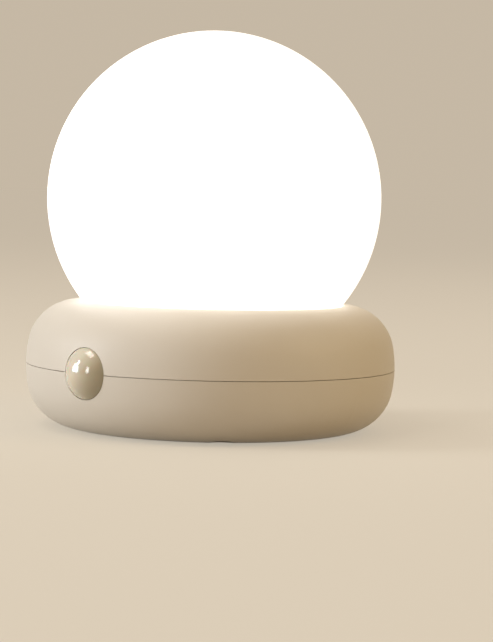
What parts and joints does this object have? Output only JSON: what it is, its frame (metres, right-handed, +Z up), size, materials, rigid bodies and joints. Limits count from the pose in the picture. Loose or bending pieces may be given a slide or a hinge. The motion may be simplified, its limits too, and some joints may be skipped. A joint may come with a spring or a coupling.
{
  "type": "plug-in night light",
  "caption": "Round globe night light on a flattened base that plugs straight into a wall socket, with a light and motion sensor in front and a slide switch underneath.",
  "frame": {"origin": "centre of the plug's face, on the wall plane at the height of the base's seam", "axes": "+X to the right seen from the front, +Y into the wall, +Z up; the lamp's own axis stands 42 mm in front of the origin"},
  "size_m": [0.091, 0.1072, 0.0975],
  "materials": {
    "cream_plastic": "satin moulded ABS",
    "milk_plastic": "satin milky diffuser, lit from inside",
    "pearl_plastic": "glossy milky lens",
    "dark_plastic": "dark sensor filter and chip body",
    "black_plastic": "moulded",
    "white_plastic": "moulded",
    "board_green": "coated glass-fibre board",
    "board_white": "white-coated aluminium board",
    "phosphor": "yellow phosphor",
    "film_yellow": "dipped box capacitor",
    "sleeve_dark": "shrink sleeve",
    "resistor_blue": "coated resistor",
    "steel": "zinc-plated",
    "brass_nickel": "plated brass",
    "phenolic": "pressed sheet",
    "red_wire": "insulated lead",
    "blue_wire": "insulated lead",
    "white_wire": "insulated lead"
  },
  "bodies": {
    "housing": {"upper_shell": "cream_plastic", "lower_shell": "cream_plastic", "shell_screws": "steel", "globe": "milk_plastic", "led_board": "board_white", "leds": "phosphor", "led_board_screws": "steel", "sensor_lens": "pearl_plastic", "sensor_can": "steel", "sensor_window": "dark_plastic", "sensor_pins": "steel", "sensor_board": "board_green", "light_cell": "dark_plastic", "power_board": "board_green", "board_screws": "steel", "film_capacitor": "film_yellow", "smoothing_capacitor": "sleeve_dark", "bridge_rectifier": "black_plastic", "fuse_resistor": "resistor_blue", "control_chip": "black_plastic", "switch_frame": "steel", "switch_base": "phenolic", "switch_terminals": "brass_nickel", "plug_block": "cream_plastic", "line_blade": "brass_nickel", "neutral_blade": "brass_nickel", "line_lead": "red_wire", "neutral_lead": "blue_wire", "led_leads": "white_wire", "sensor_leads": "white_wire"},
    "mode_knob": {"switch_slider": "white_plastic", "switch_wiper": "brass_nickel", "switch_knob": "white_plastic"}
  },
  "joints": [
    {"name": "mode_slide", "type": "slide", "parent": "housing", "child": "mode_knob", "axis": [1, 0, 0], "range_m": [-0.002, 0.002]}
  ]
}
